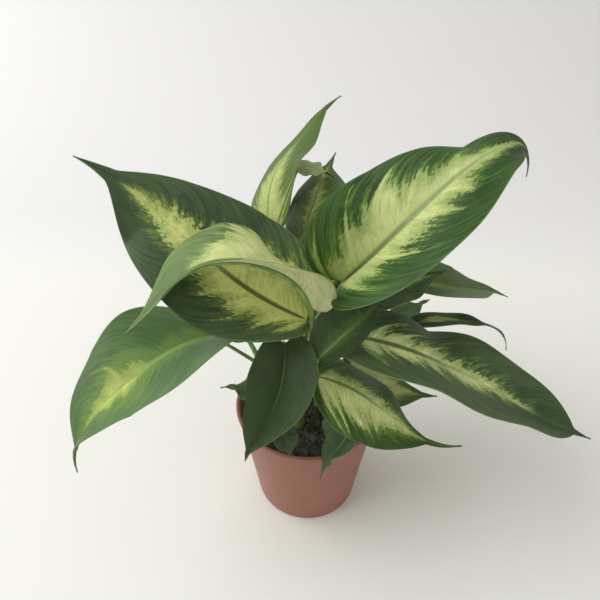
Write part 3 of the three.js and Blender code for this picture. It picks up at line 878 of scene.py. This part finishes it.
def addStalk(name, leaf, points):
    basics = leafBasics
    line, radii = stalkPoints(leaf)
    ribSteps = basics["ribSteps"]
    for i in range(1, ribSteps + 1):
        s = basics["ribReach"] * i / ribSteps
        thinning = (i / ribSteps) ** 0.8
        radius = basics["stalkNeck"] + (basics["ribEnd"] - basics["stalkNeck"]) * thinning
        upper = bladeAxes(leaf, s)[2]
        groove = basics["groove"] * (1 - s) * min(1.0, halfWidth(leaf, s) / basics["narrow"])
        line.append(along(points, s) - upper * (radius - 0.15 + groove))
        radii.append(radius)
    scale = leaf.get("stem", basics["smallStem"] if leaf.get("small") else 1.0)
    stalk = addTube(name + "Stalk", line, [radius * scale for radius in radii])
    stalk.data.materials.append(stalkLook)
    return stalk


def addLeaf(name, leaf):
    blade, points = addBlade(name, leaf)
    stalk = addStalk(name, leaf, points)
    leafObject = joinPieces(blade, [stalk])
    smoothBelow(leafObject, 55)
    leafObject.name = titled(name)
    standFor(leafObject, name)


for name, leaf in leafShapes.items():
    addLeaf(name, leaf)
print("leaves done:", len(leafShapes))


# canes: smooth green stems, ringed where old leaves have dropped
caneSkin = {"rings": 70, "taper": 0.12, "scarGap": 11.0, "scarHeight": 0.35}


def addCane(name, cane):
    settings = caneSkin
    steps = settings["rings"]
    length = cane["top"][2] - cane["foot"][2]
    line = []
    radii = []
    for i in range(steps + 1):
        share = i / steps
        scar = math.cos(2 * math.pi * (share * length / settings["scarGap"] + cane["radius"]))
        bulge = settings["scarHeight"] * max(0.0, scar) ** 6
        line.append(canePoint(cane, share))
        radii.append(cane["radius"] * (1 - settings["taper"] * share) + bulge)
    tip = (canePoint(cane, 1.0) - canePoint(cane, 0.98)).normalized()
    last = radii[-1]
    for k in range(1, 6):
        angle = k / 5 * math.pi / 2
        line.append(canePoint(cane, 1.0) + tip * (math.sin(angle) * last * 0.5))
        radii.append(max(last * math.cos(angle), 0.05))
    stem = addTube("Cane" + titled(name), line, radii, sides=6)
    stem.data.materials.append(caneLook)
    smoothBelow(stem, 60)
    standFor(stem, "cane_" + name)


for name, cane in caneShapes.items():
    addCane(name, cane)
print("canes done:", len(caneShapes))


# pot: thin plastic, turned from its profile, with a rolled rim and drain holes
potShape = {
    "height": 104.0,
    "topRadius": 58.5,
    "baseRadius": 45.0,
    "wall": 1.6,
    "bead": 1.6,
    "sides": 128,
    "holeRadius": 4.0,
    "holeCircle": 28.0,
    "holes": 6,
}


def wallAt(z):
    settings = potShape
    flare = settings["topRadius"] - settings["baseRadius"]
    return settings["baseRadius"] + flare * z / settings["height"]


def turnProfile(name, profile, sides):
    # a closed round piece: a disc is extruded ring by ring through the profile, in mm
    radius, z = profile[0]
    deselectAll()
    bpy.ops.mesh.primitive_circle_add(
        vertices=sides, radius=radius * mm, fill_type="NGON", location=(0, 0, z * mm))
    piece = added(name)
    bpy.ops.object.mode_set(mode="EDIT")
    bpy.ops.mesh.select_all(action="SELECT")
    for nextRadius, nextZ in profile[1:]:
        step = (0, 0, (nextZ - z) * mm)
        bpy.ops.mesh.extrude_region_move(TRANSFORM_OT_translate={"value": step})
        ratio = nextRadius / radius
        bpy.ops.transform.resize(value=(ratio, ratio, 1), center_override=(0, 0, nextZ * mm))
        radius, z = nextRadius, nextZ
    bpy.ops.object.mode_set(mode="OBJECT")
    applyPlace(piece)
    return piece


potFinish = {
    "deep": (0.30, 0.125, 0.088),
    "light": (0.35, 0.150, 0.108),
    "scuff": (0.46, 0.24, 0.18),
    "scuffShare": 0.18,
    "smoothest": 0.42,
    "roughest": 0.55,
    "specular": 0.3,
}


def potMaterial():
    settings = potFinish
    material, tree, shader = newMaterial("terracottaPlastic")
    coords = objectCoords(tree)
    cloud = noiseNode(tree, coords, 14.0, 4.0)
    speck = noiseNode(tree, coords, 900.0, 2.0)
    scuff = noiseNode(tree, stretched(tree, coords, 0.06), 160.0, 3.0)
    colour = mixColour(tree, mapRange(tree, cloud, 0.35, 0.7), settings["deep"], settings["light"])
    worn = mapRange(tree, scuff, 0.55, 0.75, 0.0, settings["scuffShare"])
    colour = mixColour(tree, worn, colour, settings["scuff"])
    gloss = mapRange(tree, cloud, 0.3, 0.7, settings["smoothest"], settings["roughest"])
    setSkin(tree, shader, colour, gloss, settings["specular"])
    bumpInto(tree, shader, speck, 0.12, 0.0002)
    return material


def addPot():
    settings = potShape
    wall = settings["wall"]
    beadMiddle = settings["height"] - settings["bead"]
    profile = [(43.0, 0.0), (44.1, 0.25), (wallAt(1.2) - 0.1, 1.0), (wallAt(2.4), 2.4)]
    for z in (20, 45, 70, 90, 99.4, 100.4):
        profile.append((wallAt(z), z))
    for i in range(9):
        angle = (i / 8 - 0.5) * math.pi
        radius = settings["topRadius"] + settings["bead"] * (0.04 + 0.96 * math.cos(angle))
        profile.append((radius, beadMiddle + settings["bead"] * math.sin(angle)))
    profile.append((settings["topRadius"] - 0.9, settings["height"] - 0.25))
    profile.append((settings["topRadius"] - wall, settings["height"] - 1.0))
    for z in (98, 92, 60, 30, wall + 1):
        profile.append((wallAt(z) - wall, z))
    profile.append((wallAt(wall) - wall - 1.5, wall))
    pot = turnProfile("Pot", profile, settings["sides"])
    drills = []
    circle = settings["holeCircle"] * mm
    for i in range(settings["holes"]):
        angle = 2 * math.pi * (i + 0.5) / settings["holes"]
        deselectAll()
        bpy.ops.mesh.primitive_cylinder_add(
            vertices=32, radius=settings["holeRadius"] * mm, depth=8 * mm,
            location=(circle * math.cos(angle), circle * math.sin(angle), 0))
        drills.append(bpy.context.object)
    drill = joinPieces(drills[0], drills[1:])
    applyPlace(drill)
    cut = pot.modifiers.new("drain", "BOOLEAN")
    cut.operation = "DIFFERENCE"
    cut.solver = "EXACT"
    cut.object = drill
    applyModifier(pot, cut)
    bpy.data.objects.remove(drill)
    pot.data.materials.clear()
    pot.data.materials.append(potMaterial())
    smoothBelow(pot, 40)
    standFor(pot, "pot")


addPot()
print("pot done")


# soil: a dark uneven heap with crumbs and a few white grains
soilShape = {
    "level": 93.0,
    "mound": 3.0,
    "seat": 0.3,
    "rough": 1.3,
    "crumbs": 330,
    "crumbSizes": (0.8, 2.4),
    "grains": 46,
    "grainSizes": (0.5, 1.2),
    "sides": 144,
    "rings": 34,
}


def soilHeight(x, y):
    settings = soilShape
    edge = wallAt(settings["level"]) - potShape["wall"]
    share = 1 - min(1.0, math.hypot(x, y) / edge)
    bumps = noise.noise(Vector((x, y, 3.0)) * 0.16) + 0.5 * noise.noise(Vector((x, y, 9.0)) * 0.5)
    fade = min(1.0, share * 12)
    mound = settings["mound"] * math.sin(share * math.pi / 2)
    return settings["level"] + mound + settings["rough"] * bumps * fade


soilFinish = {
    "dark": (0.036, 0.036, 0.031),
    "light": (0.120, 0.115, 0.098),
    "fibre": (0.15, 0.125, 0.095),
    "grain": (0.55, 0.52, 0.46),
    "pore": (0.30, 0.27, 0.22),
    "roughness": 0.95,
    "grainRoughness": 0.9,
}


def soilMaterial():
    settings = soilFinish
    material, tree, shader = newMaterial("pottingSoil")
    coords = objectCoords(tree)
    clump = noiseNode(tree, coords, 160.0, 6.0, 0.7)
    grain = noiseNode(tree, coords, 700.0, 4.0, 0.7)
    colour = mixColour(tree, mapRange(tree, clump, 0.35, 0.7), settings["dark"], settings["light"])
    colour = mixColour(tree, mapRange(tree, grain, 0.66, 0.78), colour, settings["fibre"])
    setSkin(tree, shader, colour, settings["roughness"])
    height = mathNode(tree, "ADD", clump, mathNode(tree, "MULTIPLY", grain, 0.5))
    bumpInto(tree, shader, height, 0.9, 0.0012)
    return material


def grainMaterial():
    settings = soilFinish
    material, tree, shader = newMaterial("whiteGrain")
    pores = noiseNode(tree, objectCoords(tree), 900.0, 3.0)
    colour = mixColour(tree, mapRange(tree, pores, 0.4, 0.7), settings["grain"], settings["pore"])
    setSkin(tree, shader, colour, settings["grainRoughness"])
    bumpInto(tree, shader, pores, 0.6, 0.0005)
    return material


def addLumps(name, count, sizes, material, sink):
    # one lump is made and copied, each copy turned, stretched and set into the soil
    deselectAll()
    bpy.ops.mesh.primitive_ico_sphere_add(subdivisions=2, radius=mm)
    first = added(name)
    for vertex in first.data.vertices:
        vertex.co *= 1 + 0.35 * noise.noise(vertex.co * 1400)
    first.data.materials.append(material)
    reach = wallAt(soilShape["level"]) - potShape["wall"] - 4
    lumps = []
    for i in range(count):
        lump = first.copy()
        lump.data = first.data.copy()
        bpy.context.scene.collection.objects.link(lump)
        angle = random.uniform(0, 2 * math.pi)
        radius = reach * math.sqrt(random.random())
        x = radius * math.cos(angle)
        y = radius * math.sin(angle)
        size = random.uniform(*sizes)
        ranges = ((0.7, 1.3), (0.7, 1.3), (0.5, 0.9))
        lump.scale = [size * random.uniform(low, high) for low, high in ranges]
        lump.rotation_euler = [random.uniform(0, 6) for axis in "xyz"]
        lump.location = (x * mm, y * mm, (soilHeight(x, y) + size * sink) * mm)
        lumps.append(lump)
    bpy.data.objects.remove(first)
    return joinPieces(lumps[0], lumps[1:])


def addSoil():
    settings = soilShape
    inset = potShape["wall"] + settings["seat"]     # from the pot's outside, and up from its base
    edge = wallAt(settings["level"]) - inset
    profile = [(wallAt(inset) - inset, inset), (wallAt(50) - inset, 50), (edge, settings["level"])]
    for i in range(1, settings["rings"]):
        profile.append((edge * (1 - i / settings["rings"]), settings["level"]))
    soil = turnProfile("Soil", profile, settings["sides"])
    for vertex in soil.data.vertices:
        if vertex.co.z > (settings["level"] - 0.5) * mm:
            vertex.co.z = soilHeight(vertex.co.x / mm, vertex.co.y / mm) * mm
    soil.data.materials.append(soilMaterial())
    smoothBelow(soil, 60)
    earth = soil.data.materials[0]
    crumbs = addLumps("crumbs", settings["crumbs"], settings["crumbSizes"], earth, 0.1)
    grains = addLumps("grains", settings["grains"], settings["grainSizes"], grainMaterial(), 0.35)
    joinPieces(soil, [crumbs, grains])
    applyPlace(soil)
    standFor(soil, "soil")


addSoil()
print("soil done")


# studio: pale floor that sweeps up behind, soft window light from above and the left
studio = {
    "floorSize": 6.0,
    "gap": 0.0005,          # the floor lies this far under the pot
    "sweepStart": 0.9,
    "sweepRadius": 0.8,
    "sweepSteps": 20,
    "wallHeight": 3.0,
    "floorColour": (0.825, 0.826, 0.787),
    "wallColour": (0.768, 0.766, 0.764),
    "toWall": (0.3, 0.6),   # between these distances behind the pot the colour changes
    "roughness": 0.6,
    "air": (1.0, 0.97, 0.915),
    "airStrength": 0.53,
}
lights = {
    "windowLight": {
        "place": (-3.2, -0.2, 3.0), "aim": (0, 0, 0.12), "size": 4.4, "power": 171,
        "colour": (0.975, 0.985, 1.0),
    },
    "fillLight": {
        "place": (0.9, -1.1, 1.1), "aim": (0, 0, 0.15), "size": 1.3, "power": 1.5,
        "colour": (1.0, 0.98, 0.94),
    },
}


def floorMaterial():
    settings = studio
    material, tree, shader = newMaterial("studioWhite")
    parts = addNode(tree, "ShaderNodeSeparateXYZ")
    tree.links.new(objectCoords(tree), parts.inputs[0])
    behind = mapRange(tree, parts.outputs[1], *settings["toWall"])
    colour = mixColour(tree, behind, settings["floorColour"], settings["wallColour"])
    setSkin(tree, shader, colour, settings["roughness"])
    return material


def addFloor():
    settings = studio
    radius = settings["sweepRadius"]
    middle = settings["sweepStart"] - settings["floorSize"] / 2
    deselectAll()
    bpy.ops.mesh.primitive_plane_add(
        size=settings["floorSize"], location=(0, middle, -settings["gap"]))
    floor = added("studioFloor")
    applyPlace(floor)
    # the back edge is drawn up through a quarter circle and then straight up
    y = settings["sweepStart"]
    z = -settings["gap"]
    bpy.ops.object.mode_set(mode="EDIT")
    bpy.ops.mesh.select_all(action="DESELECT")
    bpy.ops.object.mode_set(mode="OBJECT")
    for vertex in floor.data.vertices:
        vertex.select = vertex.co.y > y - 0.01
    bpy.ops.object.mode_set(mode="EDIT")
    for i in range(1, settings["sweepSteps"] + 2):
        angle = min(i / settings["sweepSteps"], 1.0) * math.pi / 2
        nextY = settings["sweepStart"] + radius * math.sin(angle)
        nextZ = radius * (1 - math.cos(angle))
        if i > settings["sweepSteps"]:
            nextZ = settings["wallHeight"]
        step = (0, nextY - y, nextZ - z)
        bpy.ops.mesh.extrude_region_move(TRANSFORM_OT_translate={"value": step})
        y, z = nextY, nextZ
    bpy.ops.mesh.select_all(action="SELECT")
    bpy.ops.mesh.normals_make_consistent(inside=False)
    bpy.ops.object.mode_set(mode="OBJECT")
    bpy.ops.object.shade_smooth()
    floor.data.materials.append(floorMaterial())


def addLight(name, settings):
    bpy.ops.object.light_add(type="AREA", location=settings["place"])
    light = added(name)
    light.data.shape = "DISK"
    light.data.size = settings["size"]
    light.data.energy = settings["power"]
    light.data.color = settings["colour"]
    direction = Vector(settings["aim"]) - Vector(settings["place"])
    light.rotation_euler = direction.to_track_quat("-Z", "Y").to_euler()


def addAir():
    world = bpy.data.worlds.new("studioAir")
    world.use_nodes = True
    tree = world.node_tree
    look = {"Color": studio["air"], "Strength": studio["airStrength"]}
    feed(tree, tree.nodes["Background"], look)
    bpy.context.scene.world = world


addFloor()
for name, settings in lights.items():
    addLight(name, settings)
addAir()
bpy.context.scene.view_settings.view_transform = "Standard"
print("studio ready")
